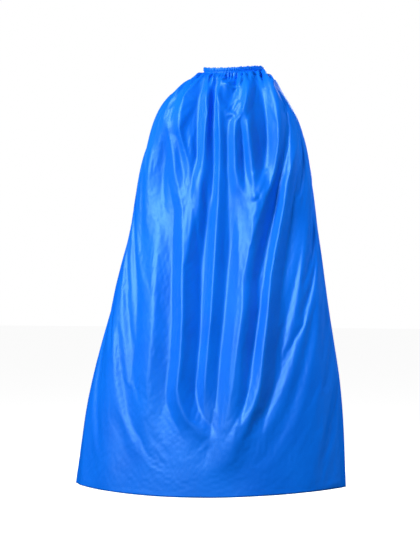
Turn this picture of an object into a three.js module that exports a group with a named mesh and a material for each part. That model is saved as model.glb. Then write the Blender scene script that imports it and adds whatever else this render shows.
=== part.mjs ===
// An adult's satin costume cape, as it hangs on a wearer: millimetres, +Z up, the wearer faces -Y and
// the wearer's left is +X. The origin is the middle of the neckline, at the height of the nape.
// One gathered satin panel hangs from a folded casing that goes round the neck over a stay tape.
// Hook-and-loop patches on a tab and a strap close it at the throat.
// The real cloth is 0.2 mm satin. Cloth plies are thicker here, so that each one is a sound solid.
import * as THREE from "three";

// Driving sizes
const CAPE_DROP = 1350; // nape to hem at the centre back, measured straight down
const HEM_RISE = 22; // how far the hem's front corners end above its centre back
const HEM_HALF_WIDTH = 460;
const HEM_CENTRE_Y = 219; // how far the hem trails behind the neck
const HEM_DEPTH = 190; // from the hem's front corners back to its centre
const SHOULDER_HALF_WIDTH = 219;
const SHOULDER_DROP = 104; // neck to the outer shoulder
const SHOULDER_CENTRE_Y = 78; // the shoulders are behind the neck, which leans forward
const BLADE_DEPTH = 85; // from there back to the shoulder blades
const BLADE_DROP = 172; // the back's fullest level
const CREST_DROP = 76; // of the level between the neck and the shoulders, at the centre back
const CREST_TRAIL = 0.7; // how much of the way back to the shoulders' centre that level has come
const CREST_FALL = 0.32; // and how much of the way down to the shoulders, at its sides
const CREST_FRONT_DEPTH = 157;
const CREST_FRONT_DROP = 58; // from the throat
const CHEST_DROP = 192; // where the front edges turn down off the chest
const CHEST_DEPTH = 190; // of the curve that those edges lie on
const NECK_HALF_WIDTH = 98;
const NECK_HALF_DEPTH = 84;
const THROAT_DROP = 45; // the neckline is lower at the throat than at the nape
const NECK_SIDE_RISE = 8;
const FOLD_COUNT = 9; // hanging folds across the panel
const HEM_FOLD_DEPTH = 16;
const EDGE_CALM = 0.12; // the share of the half width where the folds die out
const PANEL_THICKNESS = 2;
const PLY_THICKNESS = 1; // casing, tab and strap plies
const HEM_PLY_THICKNESS = 1.2; // the turned hem's two plies
const BOTTOM_HEM_WIDTH = 22;
const EDGE_HEM_WIDTH = 14;
const CASING_LIFT = 0.8; // from the panel's top edge to the casing
const CASING_SEAM = 1.5; // from the casing's open edges to the tape
const TAPE_HEIGHT = 11;
const TAPE_THICKNESS = 1.2;
const TAB_HEIGHT = 17;
const TAB_REACH = 28; // how far the under tab goes past the casing's end
const STRAP_REACH = 42;
const PATCH_HEIGHT = 13;
const PATCH_LENGTH = 22;
const PATCH_THICKNESS = 1.2;
const PATCH_MARGIN = 3; // from a patch to the end of its tab or strap
const STRAP_STEP = 7; // the strap rises over the patches within this length
const LABEL_WIDTH = 26;
const LABEL_LENGTH = 38;
const LABEL_THICKNESS = 0.8;
const LABEL_SEWN = 4; // how far the label's sewn end goes up the casing
const THREAD_WIDTH = 0.8;
const THREAD_THICKNESS = 0.5;
const SEWN_GAP = 0.3; // between pieces that are sewn face to face
const HINGE_GAP = 0.8; // between the panel above the swing line and the panel below it

const YOKE_SHARE = 0.06; // the part of the panel's length that stays with the neck
const THROAT_GAP = 38; // between the two ends of the casing

const SATIN = new THREE.MeshStandardMaterial({ color: 0x0b5fe0, roughness: 0.35, side: THREE.DoubleSide });
const TAPE = new THREE.MeshStandardMaterial({ color: 0x1b4fae, roughness: 0.9 });
const HOOK_LOOP = new THREE.MeshStandardMaterial({ color: 0x123f9c, roughness: 1 });
const THREAD = new THREE.MeshStandardMaterial({ color: 0x0a4cc0, roughness: 0.6 });
const LABEL = new THREE.MeshStandardMaterial({ color: 0xf2f2ee, roughness: 0.5 });

const lerp = THREE.MathUtils.lerp;
const smooth = THREE.MathUtils.smoothstep;
const radians = THREE.MathUtils.degToRad;

// ---- The hanging shape --------------------------------------------------------------------------
// A station is a level curve of the cloth, bent round the wearer: wrap is how far it goes round on
// each side of the centre back, and evenOut spaces its points more evenly along a flat curve.
const belowShoulder = (drop, widen, trail, deepen, wrap) => ({
  halfWidth: lerp(SHOULDER_HALF_WIDTH, HEM_HALF_WIDTH, widen),
  centreY: lerp(SHOULDER_CENTRE_Y, HEM_CENTRE_Y, trail),
  backDepth: lerp(BLADE_DEPTH, HEM_DEPTH, deepen),
  frontDepth: lerp(CHEST_DEPTH, HEM_DEPTH, drop),
  wrap,
  backZ: -lerp(BLADE_DROP, CAPE_DROP, drop),
  sideZ: -lerp(SHOULDER_DROP, CAPE_DROP - HEM_RISE, drop),
  edgeZ: -lerp(CHEST_DROP, CAPE_DROP - HEM_RISE, drop),
  evenOut: 0.34 * drop,
});

const openingAngle = THREE.MathUtils.radToDeg(Math.asin(THROAT_GAP / 2 / NECK_HALF_WIDTH));
const STATIONS = [
  {
    halfWidth: NECK_HALF_WIDTH,
    centreY: 0,
    backDepth: NECK_HALF_DEPTH,
    frontDepth: NECK_HALF_DEPTH,
    wrap: 180 - openingAngle,
    backZ: 0,
    sideZ: NECK_SIDE_RISE,
    edgeZ: -THROAT_DROP,
    evenOut: 0,
  },
  {
    halfWidth: (NECK_HALF_WIDTH + SHOULDER_HALF_WIDTH) / 2,
    centreY: CREST_TRAIL * SHOULDER_CENTRE_Y,
    backDepth: BLADE_DEPTH,
    frontDepth: CREST_FRONT_DEPTH,
    wrap: 150,
    backZ: -CREST_DROP,
    sideZ: lerp(NECK_SIDE_RISE, -SHOULDER_DROP, CREST_FALL),
    edgeZ: -THROAT_DROP - CREST_FRONT_DROP,
    evenOut: 0,
  },
  belowShoulder(0, 0, 0, 0, 128),
  belowShoulder(0.115, 0.25, 0.01, 0.05, 112),
  belowShoulder(0.32, 0.42, 0.17, 0.16, 101),
  belowShoulder(0.56, 0.67, 0.53, 0.4, 96),
  belowShoulder(0.77, 0.87, 0.75, 0.7, 93),
  belowShoulder(1, 1, 1, 1, 92),
];

// The angle round the wearer at u, which runs from -1 at the wearer's right edge to 1 at the left.
const angleAt = (s, u) => radians(s.wrap) * (u - (s.evenOut * Math.sin(Math.PI * u)) / Math.PI);

function onStation(s, angle) {
  const turned = Math.abs(angle);
  const side = Math.PI / 2;
  const behind = turned < side;
  const backToSide = Math.sin(turned) ** 2;
  const sideToEdge = smooth(turned, side, radians(s.wrap));
  const z = behind ? lerp(s.backZ, s.sideZ, backToSide) : lerp(s.sideZ, s.edgeZ, sideToEdge);
  const depth = behind ? s.backDepth : s.frontDepth;
  return new THREE.Vector3(s.halfWidth * Math.sin(angle), s.centreY + depth * Math.cos(angle), z);
}

// The line that one thread of the cloth follows, from the neckline to the hem.
const lines = new Map();
function lineAt(u) {
  if (!lines.has(u)) {
    const points = STATIONS.map((s) => onStation(s, angleAt(s, u)));
    lines.set(u, new THREE.CatmullRomCurve3(points, false, "centripetal"));
  }
  return lines.get(u);
}

const smoothCloth = (u, v) => lineAt(u).getPointAt(THREE.MathUtils.clamp(v, 0, 1));

function normalOf(surface, u, v) {
  const step = 0.004;
  const [u0, u1] = [Math.max(-1, u - step), Math.min(1, u + step)];
  const [v0, v1] = [Math.max(0, v - step), Math.min(1, v + step)];
  const across = surface(u1, v).sub(surface(u0, v));
  const down = surface(u, v1).sub(surface(u, v0));
  return across.cross(down).normalize();
}

// The folds start at nothing at the neckline and die out towards the two front edges.
function cloth(u, v) {
  const depth = HEM_FOLD_DEPTH * smooth(v, 0, 0.9) * smooth(1 - Math.abs(u), 0, EDGE_CALM);
  const wave = depth * Math.cos(Math.PI * FOLD_COUNT * u);
  return smoothCloth(u, v).addScaledVector(normalOf(smoothCloth, u, v), wave);
}

// The neckline as a band: t is the angle from the nape, height is up the band.
function band(t, height) {
  const s = STATIONS[0];
  const point = onStation(s, t);
  if (Math.abs(t) > radians(s.wrap)) point.z = s.edgeZ;
  point.z += height;
  return point;
}

function bandNormal(t) {
  return new THREE.Vector3(NECK_HALF_DEPTH * Math.sin(t), NECK_HALF_WIDTH * Math.cos(t), 0).normalize();
}

// ---- Solids -------------------------------------------------------------------------------------
// A closed solid between two grids of points, row by row: the outer grid faces away from the wearer.
function between(outer, inner) {
  const [rows, columns] = [outer.length, outer[0].length];
  const points = [...outer.flat(), ...inner.flat()];
  const at = (layer, i, j) => layer * rows * columns + i * columns + j;
  const faces = [];
  const quad = (a, b, c, d) => faces.push(a, b, c, a, c, d);
  for (let i = 0; i + 1 < rows; i++) {
    for (let j = 0; j + 1 < columns; j++) {
      quad(at(0, i, j), at(0, i, j + 1), at(0, i + 1, j + 1), at(0, i + 1, j));
      quad(at(1, i, j), at(1, i + 1, j), at(1, i + 1, j + 1), at(1, i, j + 1));
    }
    quad(at(0, i, 0), at(0, i + 1, 0), at(1, i + 1, 0), at(1, i, 0));
    quad(at(0, i, columns - 1), at(1, i, columns - 1), at(1, i + 1, columns - 1), at(0, i + 1, columns - 1));
  }
  for (let j = 0; j + 1 < columns; j++) {
    quad(at(0, 0, j), at(1, 0, j), at(1, 0, j + 1), at(0, 0, j + 1));
    quad(at(0, rows - 1, j), at(0, rows - 1, j + 1), at(1, rows - 1, j + 1), at(1, rows - 1, j));
  }
  const geometry = new THREE.BufferGeometry().setFromPoints(points);
  geometry.setIndex(faces);
  return geometry;
}

// A ply of cloth over part of the panel, from inner to outer millimetres off the cloth's middle.
function ply(us, vs, inner, outer) {
  const grid = (off) =>
    vs.map((v) => us.map((u) => cloth(u, v).addScaledVector(normalOf(smoothCloth, u, v), off)));
  return between(grid(outer), grid(inner));
}

// A ply that follows the neckline, from angle t0 to t1; offsets may change along it.
function bandPly(t0, t1, low, high, inner, outer, steps) {
  const angles = spaced(t0, t1, steps);
  const value = (off, t) => (typeof off === "function" ? off(t) : off);
  const grid = (off) =>
    [high, low].map((h) => angles.map((t) => band(t, h).addScaledVector(bandNormal(t), value(off, t))));
  return between(grid(outer), grid(inner));
}

function spaced(from, to, steps) {
  return Array.from({ length: steps + 1 }, (_, k) => lerp(from, to, k / steps));
}

const cape = new THREE.Group();

function add(name, geometry, material) {
  const mesh = new THREE.Mesh(geometry, material);
  mesh.name = name;
  cape.add(mesh);
  return mesh;
}

// ---- The panel and its hems ---------------------------------------------------------------------
const PANEL_LENGTH = lineAt(0).getLength();
const HEM_LENGTH = new THREE.CatmullRomCurve3(spaced(-1, 1, 40).map((u) => smoothCloth(u, 1))).getLength();
const edgeShare = (2 * EDGE_HEM_WIDTH) / HEM_LENGTH;
const hemShare = BOTTOM_HEM_WIDTH / PANEL_LENGTH;
const gapShare = HINGE_GAP / PANEL_LENGTH;
const threadShare = THREAD_WIDTH / PANEL_LENGTH;

const ACROSS = [-1, ...spaced(-1 + edgeShare, 1 - edgeShare, 6 * FOLD_COUNT), 1];
const YOKE_DOWN = spaced(0, YOKE_SHARE, 3);
const DRAPE_DOWN = [
  ...spaced(YOKE_SHARE + gapShare, 0.2, 4),
  ...spaced(0.2, 1 - hemShare, 13).slice(1),
  1,
];
const face = PANEL_THICKNESS / 2;
const hemOuter = -face - SEWN_GAP;
const hemInner = hemOuter - HEM_PLY_THICKNESS;

add("yoke_panel", ply(ACROSS, YOKE_DOWN, -face, face), SATIN);
add("drape_panel", ply(ACROSS, DRAPE_DOWN, -face, face), SATIN);

// Stitching lies on the panel's outer face, along the inner side of the hem that it holds.
function addStitching(name, us, vs) {
  const inner = face + SEWN_GAP;
  add(name, ply(us, vs, inner, inner + THREAD_THICKNESS), THREAD);
}

const bottomRows = DRAPE_DOWN.slice(-2);
add("bottom_hem", ply(ACROSS, bottomRows, hemInner, hemOuter), SATIN);
addStitching("bottom_hem_stitching", ACROSS, [bottomRows[0], bottomRows[0] + threadShare]);

// The edge hems stop just above the bottom hem, which is turned up over them.
const edgeRows = DRAPE_DOWN.slice(0, -1);
edgeRows[edgeRows.length - 1] -= SEWN_GAP / PANEL_LENGTH;
const stitchWidth = (2 * THREAD_WIDTH) / HEM_LENGTH;
for (const [side, sign] of [["left", 1], ["right", -1]]) {
  const fromHem = (width) => [sign * (1 - edgeShare), sign * (1 - edgeShare + width)].sort((a, b) => a - b);
  add(`${side}_edge_hem`, ply(fromHem(edgeShare), edgeRows, hemInner, hemOuter), SATIN);
  add(`${side}_yoke_edge_hem`, ply(fromHem(edgeShare), YOKE_DOWN, hemInner, hemOuter), SATIN);
  addStitching(`${side}_edge_stitching`, fromHem(stitchWidth), edgeRows);
}

// ---- The neck casing and its tape ---------------------------------------------------------------
const casingEnd = radians(180 - openingAngle);
const casingBottom = face + CASING_LIFT;
const tapeBottom = casingBottom + CASING_SEAM;
const tapeTop = tapeBottom + TAPE_HEIGHT;
const foldInner = tapeTop + SEWN_GAP;
const tapeFace = TAPE_THICKNESS / 2;
const casingFace = tapeFace + SEWN_GAP;
const CASING_STEPS = 44;

// The casing's section is one ply folded over the tape, open at the bottom: its own outline, swept.
function casing() {
  const outline = [
    [casingFace, casingBottom],
    [casingFace, foldInner],
    [-casingFace, foldInner],
    [-casingFace, casingBottom],
    [-casingFace - PLY_THICKNESS, casingBottom],
    [-casingFace - PLY_THICKNESS, foldInner + PLY_THICKNESS],
    [casingFace + PLY_THICKNESS, foldInner + PLY_THICKNESS],
    [casingFace + PLY_THICKNESS, casingBottom],
  ];
  const rings = spaced(-casingEnd, casingEnd, CASING_STEPS).map((t) =>
    outline.map(([off, height]) => band(t, height).addScaledVector(bandNormal(t), off)),
  );
  const count = outline.length;
  const faces = [];
  for (let i = 0; i < CASING_STEPS; i++) {
    for (let j = 0; j < count; j++) {
      const [a, b] = [i * count + j, i * count + ((j + 1) % count)];
      faces.push(a, a + count, b + count, a, b + count, b);
    }
  }
  const flat = outline.map(([x, y]) => new THREE.Vector2(x, y));
  const last = CASING_STEPS * count;
  for (const [a, b, c] of THREE.ShapeUtils.triangulateShape(flat, [])) {
    faces.push(a, c, b, last + a, last + b, last + c);
  }
  const geometry = new THREE.BufferGeometry().setFromPoints(rings.flat());
  return geometry.setIndex(faces);
}

add("neck_casing", casing(), SATIN);
const tapeEnd = casingEnd - radians(1);
add("neck_tape", bandPly(-tapeEnd, tapeEnd, tapeBottom, tapeTop, -tapeFace, tapeFace, CASING_STEPS), TAPE);

const casingOuter = casingFace + PLY_THICKNESS;
function casingStitching() {
  const low = casingBottom + CASING_SEAM;
  const inner = casingOuter + SEWN_GAP;
  return bandPly(-tapeEnd, tapeEnd, low, low + THREAD_WIDTH, inner, inner + THREAD_THICKNESS, CASING_STEPS);
}
add("casing_stitching", casingStitching(), THREAD);

// ---- The closure at the throat ------------------------------------------------------------------
// Angles past pi go on round the throat to the other side.
const alongThroat = (mm) => mm / NECK_HALF_WIDTH;
const bandMiddle = (casingBottom + foldInner) / 2;
const bandRows = (height) => [bandMiddle - height / 2, bandMiddle + height / 2];
const TAB_PLIES = 2 * PLY_THICKNESS;

// A patch, and the two lines of stitching along its ends, on one face of the tab or the strap.
function addPatch(name, from, to, inner, stitchInner) {
  add(name, bandPly(from, to, ...bandRows(PATCH_HEIGHT), inner, inner + PATCH_THICKNESS, 8), HOOK_LOOP);
  const stitchOuter = stitchInner + THREAD_THICKNESS;
  const stitchRows = bandRows(PATCH_HEIGHT - 2);
  const width = alongThroat(THREAD_WIDTH);
  for (const [end, start] of [["right", from], ["left", to - width]]) {
    const line = bandPly(start, start + width, ...stitchRows, stitchInner, stitchOuter, 1);
    add(`${name}_${end}_stitching`, line, THREAD);
  }
}

const tabStart = casingEnd + alongThroat(SEWN_GAP);
const tabEnd = casingEnd + alongThroat(TAB_REACH);
const tab = bandPly(tabStart, tabEnd, ...bandRows(TAB_HEIGHT), -TAB_PLIES / 2, TAB_PLIES / 2, 8);
add("under_tab", tab, SATIN);
const hookTo = tabEnd - alongThroat(PATCH_MARGIN);
const hookInner = TAB_PLIES / 2 + SEWN_GAP;
const tabStitchInner = -TAB_PLIES / 2 - SEWN_GAP - THREAD_THICKNESS;
addPatch("hook_patch", hookTo - alongThroat(PATCH_LENGTH), hookTo, hookInner, tabStitchInner);

// The strap leaves the casing's right end and steps out over the hook patch.
const strapStart = -casingEnd - alongThroat(SEWN_GAP);
const strapEnd = -casingEnd - alongThroat(STRAP_REACH);
const loopInner = hookInner + PATCH_THICKNESS + SEWN_GAP;
const strapInner = loopInner + PATCH_THICKNESS + SEWN_GAP;
const stepped = (t) => smooth(strapStart - t, 0, alongThroat(STRAP_STEP));
const strapOff = (layer) => (t) => lerp(casingOuter - TAB_PLIES, strapInner, stepped(t)) + layer;
const strap = bandPly(strapEnd, strapStart, ...bandRows(TAB_HEIGHT), strapOff(0), strapOff(TAB_PLIES), 12);
add("over_strap", strap, SATIN);
const loopFrom = strapEnd + alongThroat(PATCH_MARGIN);
const loopTo = loopFrom + alongThroat(PATCH_LENGTH);
addPatch("loop_patch", loopFrom, loopTo, loopInner, strapInner + TAB_PLIES + SEWN_GAP);

// ---- The care label inside the nape -------------------------------------------------------------
// It is flat, and the casing behind it is curved, so it touches near its two side edges.
const bandSag = NECK_HALF_WIDTH - Math.sqrt(NECK_HALF_WIDTH ** 2 - (LABEL_WIDTH / 2) ** 2);
const labelY = NECK_HALF_DEPTH - casingOuter - bandSag - SEWN_GAP - LABEL_THICKNESS / 2;
const labelTop = casingBottom + LABEL_SEWN;
const label = new THREE.BoxGeometry(LABEL_WIDTH, LABEL_THICKNESS, LABEL_LENGTH);
add("care_label", label, LABEL).position.set(0, labelY, labelTop - LABEL_LENGTH / 2);
const labelThread = new THREE.BoxGeometry(LABEL_WIDTH - 2, THREAD_THICKNESS, THREAD_WIDTH);
const labelThreadY = labelY - (LABEL_THICKNESS + THREAD_THICKNESS) / 2 - SEWN_GAP;
add("care_label_stitching", labelThread, THREAD).position.set(0, labelThreadY, labelTop - LABEL_SEWN / 2);

export default cape;
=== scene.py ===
"""A blue satin costume cape hanging as it does on a wearer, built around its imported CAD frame.

Metres, +Z up. The wearer faces -Y and the wearer's left is +X. The origin is the middle of the neckline.
A place on the panel is (u, v): u runs from -1 at the wearer's right edge to 1 at the left edge, and v from
0 at the neckline to 1 at the hem.
"""
import math

import bpy
import numpy as np
from mathutils import Matrix, Vector


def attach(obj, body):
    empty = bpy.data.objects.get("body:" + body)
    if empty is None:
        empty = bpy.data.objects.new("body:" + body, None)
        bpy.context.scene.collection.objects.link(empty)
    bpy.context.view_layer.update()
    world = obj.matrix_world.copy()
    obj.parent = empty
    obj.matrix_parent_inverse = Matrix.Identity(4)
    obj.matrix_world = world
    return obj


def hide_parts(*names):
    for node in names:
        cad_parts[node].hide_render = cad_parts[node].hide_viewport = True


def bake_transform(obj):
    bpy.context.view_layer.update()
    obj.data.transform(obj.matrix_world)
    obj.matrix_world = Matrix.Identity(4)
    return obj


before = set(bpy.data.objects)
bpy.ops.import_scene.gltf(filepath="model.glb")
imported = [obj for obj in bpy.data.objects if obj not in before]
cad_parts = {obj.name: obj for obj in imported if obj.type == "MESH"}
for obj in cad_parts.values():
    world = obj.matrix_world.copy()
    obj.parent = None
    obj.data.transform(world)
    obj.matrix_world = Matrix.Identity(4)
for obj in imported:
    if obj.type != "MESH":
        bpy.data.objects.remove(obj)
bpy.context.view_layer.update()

# ---- Sizes, as in the CAD source ------------------------------------------------------------------
CAPE_DROP = 1.350
HEM_RISE = 0.022
HEM_HALF_WIDTH = 0.460
HEM_CENTRE_Y = 0.219
HEM_DEPTH = 0.190
SHOULDER_HALF_WIDTH = 0.219
SHOULDER_DROP = 0.104
SHOULDER_CENTRE_Y = 0.078
BLADE_DEPTH = 0.085
BLADE_DROP = 0.172
CHEST_DROP = 0.192
CHEST_DEPTH = 0.190
NECK_HALF_WIDTH = 0.098
NECK_HALF_DEPTH = 0.084
THROAT_DROP = 0.045
THROAT_GAP = 0.038
NECK_SIDE_RISE = 0.008
PANEL_LENGTH = 1.4
BOTTOM_HEM_WIDTH = 0.022
EDGE_HEM_WIDTH = 0.014
HEM_STITCH_DEPTH = 0.9  # where a hem is sewn, as a share of its width
EDGE_STITCH_DEPTH = 0.86
CASING_SEAM_HEIGHT = 0.0033
CASING_TOP = 0.0156
BAND_MIDDLE = 0.0082
TAB_HEIGHT = 0.017
TAB_REACH = 0.028
STRAP_REACH = 0.042
PATCH_HEIGHT = 0.013
PATCH_LENGTH = 0.022
PATCH_THICKNESS = 0.0012
PATCH_MARGIN = 0.003
PATCH_BACKING = 0.0005
PILE_HEIGHT = 0.0006
PLY_HALF_THICKNESS = 0.0010
STRAP_GAP = 0.0003
STRAP_STEP = 0.007
STRAP_CORNER = 0.0035
BORDER_SEAM = 0.0022  # from a strap's border to its row of stitches
BORDER_ROUNDNESS = 0.0012
SEAM_GROOVE = 0.00035
LEAST_HALF_THICKNESS = 0.00012
LABEL_WIDTH = 0.026
LABEL_LENGTH = 0.038
LABEL_TOP = 0.0058
LABEL_Y = 0.0805
LABEL_SEWN = 0.004
LABEL_THICKNESS = 0.0004
# The length, the gap and the thickness of a stitch
SEAM_STITCH = (0.0027, 0.0011, 0.00042)
BORDER_STITCH = (0.0022, 0.0009, 0.00036)
PATCH_STITCH = (0.0018, 0.0008, 0.00036)
LABEL_STITCH = (0.002, 0.0009, 0.00036)

# ---- The panel's mesh and its folds ---------------------------------------------------------------
OUT_STEP = 0.001  # between the two points that give a direction outwards
COLUMNS = 281
ROWS = 341
ROW_CROWDING = 1.18  # above 1, rows lie closer together towards the neckline
CLOTH_THICKNESS = 0.0006
HEM_LEAN = 0.006  # the hem hangs lower on the wearer's left by this, and as much higher on the right
FOLD_HEIGHT = 0.7  # every height in FOLDS is multiplied by this
FOLD_WIDTH = 1.12  # and every half width by this
CREST_ROUNDNESS = 0.35
CREST_BESIDE = 0.7  # a fold's line runs along its left flank: its crest is this many half widths to the right
FOLD_REACH = 1.5  # half widths from a fold's crest to its feet
PLEAT_WAVELENGTH = 0.0095  # of the fine pleats at the neckline, which the casing shares
PLEAT_SEED = 3

# ---- The cloth simulation -------------------------------------------------------------------------
SETTLE_COLUMNS = 131
SETTLE_ROWS = 161
SETTLE_FRAMES = 22
SLACK = 1.008  # the cut is this much wider than the shape it starts from, so that it wrinkles
HOLD = 0.12  # how firmly the cloth below the neckline is kept near that shape, from 0 to 1
EDGE_HOLD = 0.5
NECK_ROWS_END = 0.02  # the cloth above this v does not move

# ---- Colours --------------------------------------------------------------------------------------
SATIN_DARK = (0.0018, 0.125, 0.74)
SATIN_LIGHT = (0.0026, 0.165, 0.86)
SATIN_GLOSS = (0.24, 0.6, 1)
GRAIN_SHARE = 0.5  # how much the fine grain counts beside the broad shade

# ---- View -----------------------------------------------------------------------------------------
VIEW_AZIMUTH = math.radians(202)
CAMERA_DISTANCE = 7.5
NECK_RIGHT_OF_CENTRE = 0.078
NECK_ABOVE_CENTRE = 0.676
SENSOR = 36
LENS = 146.571
FLOOR_Z = -1.5
FLOOR_SIZE = 60
FLOOR_COLOUR = (0.6, 0.6, 0.6)
FLOOR_GLOW = 0.96
LIGHTS_AIM = (0, 0.2, -0.55)
LIGHTS = {
    # right of, towards and above the camera's line of sight; width and height; brightness on white at the
    # cape; and whether it shows in the satin's gloss
    "key": ((-2.9, 1.7, 2.1), (1.9, 1.9), 1.5, True),
    "second": ((2.6, 2.0, 1.6), (1.6, 1.6), 0.26, False),
    "fill": ((2.8, 2.4, 0.0), (1.6, 2.4), 0.14, False),
    "overhead": ((0, 0.8, 3.0), (3.0, 3.0), 0.14, False),
    "left_rim": ((-3.2, -0.6, 1.0), (1.2, 2.4), 0.08, False),
    "right_rim": ((3.2, -0.2, 1.4), (1.2, 2.4), 0.50, False),
    "front": ((0.6, -3.6, 1.2), (2.4, 2.0), 0.40, True),
}


def lerp(a, b, t):
    return a + (b - a) * t


def smooth(x, low, high):
    t = np.clip((x - low) / (high - low), 0, 1)
    return t * t * (3 - 2 * t)


# ---- The hanging shape ----------------------------------------------------------------------------
def below_shoulder(drop, widen, trail, deepen, wrap):
    """A level curve of the cloth: wrap is how far it goes round on each side, in degrees."""
    return dict(
        half_width=lerp(SHOULDER_HALF_WIDTH, HEM_HALF_WIDTH, widen),
        centre_y=lerp(SHOULDER_CENTRE_Y, HEM_CENTRE_Y, trail),
        back_depth=lerp(BLADE_DEPTH, HEM_DEPTH, deepen),
        front_depth=lerp(CHEST_DEPTH, HEM_DEPTH, drop),
        wrap=wrap,
        back_z=-lerp(BLADE_DROP, CAPE_DROP, drop),
        side_z=-lerp(SHOULDER_DROP, CAPE_DROP - HEM_RISE, drop),
        edge_z=-lerp(CHEST_DROP, CAPE_DROP - HEM_RISE, drop),
        even_out=0.34 * drop,
        lean=HEM_LEAN * drop,
    )


NECKLINE = dict(
    half_width=NECK_HALF_WIDTH,
    centre_y=0,
    back_depth=NECK_HALF_DEPTH,
    front_depth=NECK_HALF_DEPTH,
    wrap=180 - math.degrees(math.asin(THROAT_GAP / 2 / NECK_HALF_WIDTH)),
    back_z=0,
    side_z=NECK_SIDE_RISE,
    edge_z=-THROAT_DROP,
    even_out=0,
    lean=0,
)
CREST = dict(
    half_width=(NECK_HALF_WIDTH + SHOULDER_HALF_WIDTH) / 2,
    centre_y=0.7 * SHOULDER_CENTRE_Y,
    back_depth=BLADE_DEPTH,
    front_depth=0.157,
    wrap=150,
    back_z=-0.076,
    side_z=lerp(NECK_SIDE_RISE, -SHOULDER_DROP, 0.32),
    edge_z=-THROAT_DROP - 0.058,
    even_out=0,
    lean=0,
)
STATIONS = [
    NECKLINE,
    CREST,
    below_shoulder(0, 0, 0, 0, 128),
    below_shoulder(0.115, 0.25, 0.01, 0.05, 112),
    below_shoulder(0.32, 0.42, 0.17, 0.16, 101),
    below_shoulder(0.56, 0.67, 0.53, 0.4, 96),
    below_shoulder(0.77, 0.87, 0.75, 0.7, 93),
    below_shoulder(1, 1, 1, 1, 92),
]


def on_station(s, u):
    angle = math.radians(s["wrap"]) * (u - s["even_out"] * np.sin(np.pi * u) / np.pi)
    turned = np.abs(angle)
    behind = turned < math.pi / 2
    forward = smooth(turned, math.pi / 2, math.radians(s["wrap"]))
    back_z = s["back_z"] + (s["side_z"] - s["back_z"]) * np.sin(turned) ** 2
    front_z = s["side_z"] + (s["edge_z"] - s["side_z"]) * forward
    z = np.where(behind, back_z, front_z) - s["lean"] * np.sin(angle)
    depth = np.where(behind, s["back_depth"], s["front_depth"])
    return np.stack([s["half_width"] * np.sin(angle), s["centre_y"] + depth * np.cos(angle), z], -1)


def through(points, steps=24):
    """A centripetal Catmull-Rom curve through each column of points."""
    points = np.concatenate([2 * points[:1] - points[1:2], points, 2 * points[-1:] - points[-2:-1]])
    curve = []
    for p0, p1, p2, p3 in zip(points, points[1:], points[2:], points[3:]):
        spans = ((p0, p1), (p1, p2), (p2, p3))
        d0, d1, d2 = (np.maximum(((b - a) ** 2).sum(-1) ** 0.25, 1e-6)[:, None] for a, b in spans)
        m1 = ((p1 - p0) / d0 - (p2 - p0) / (d0 + d1) + (p2 - p1) / d1) * d1
        m2 = ((p2 - p1) / d1 - (p3 - p1) / (d1 + d2) + (p3 - p2) / d2) * d1
        for t in np.arange(steps) / steps:
            start = (2 * t**3 - 3 * t**2 + 1) * p1 + (t**3 - 2 * t**2 + t) * m1
            end = (-2 * t**3 + 3 * t**2) * p2 + (t**3 - t**2) * m2
            curve.append(start + end)
    curve.append(points[-2])
    return np.array(curve)


def smooth_cloth(us, vs):
    """Points on the panel without its folds, as rows of v by columns of u."""
    curve = through(np.array([on_station(s, us) for s in STATIONS]))
    lengths = np.linalg.norm(np.diff(curve, axis=0), axis=-1)
    along = np.concatenate([np.zeros((1, len(us))), np.cumsum(lengths, 0)])
    grid = np.empty((len(vs), len(us), 3))
    for j in range(len(us)):
        at = vs * along[-1, j]
        for axis in range(3):
            grid[:, j, axis] = np.interp(at, along[:, j], curve[:, j, axis])
    return grid


def normals_of(grid):
    across = np.gradient(grid, axis=1)
    down = np.gradient(grid, axis=0)
    normal = np.cross(across, down)
    return normal / np.maximum(np.linalg.norm(normal, axis=-1, keepdims=True), 1e-12)


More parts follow.
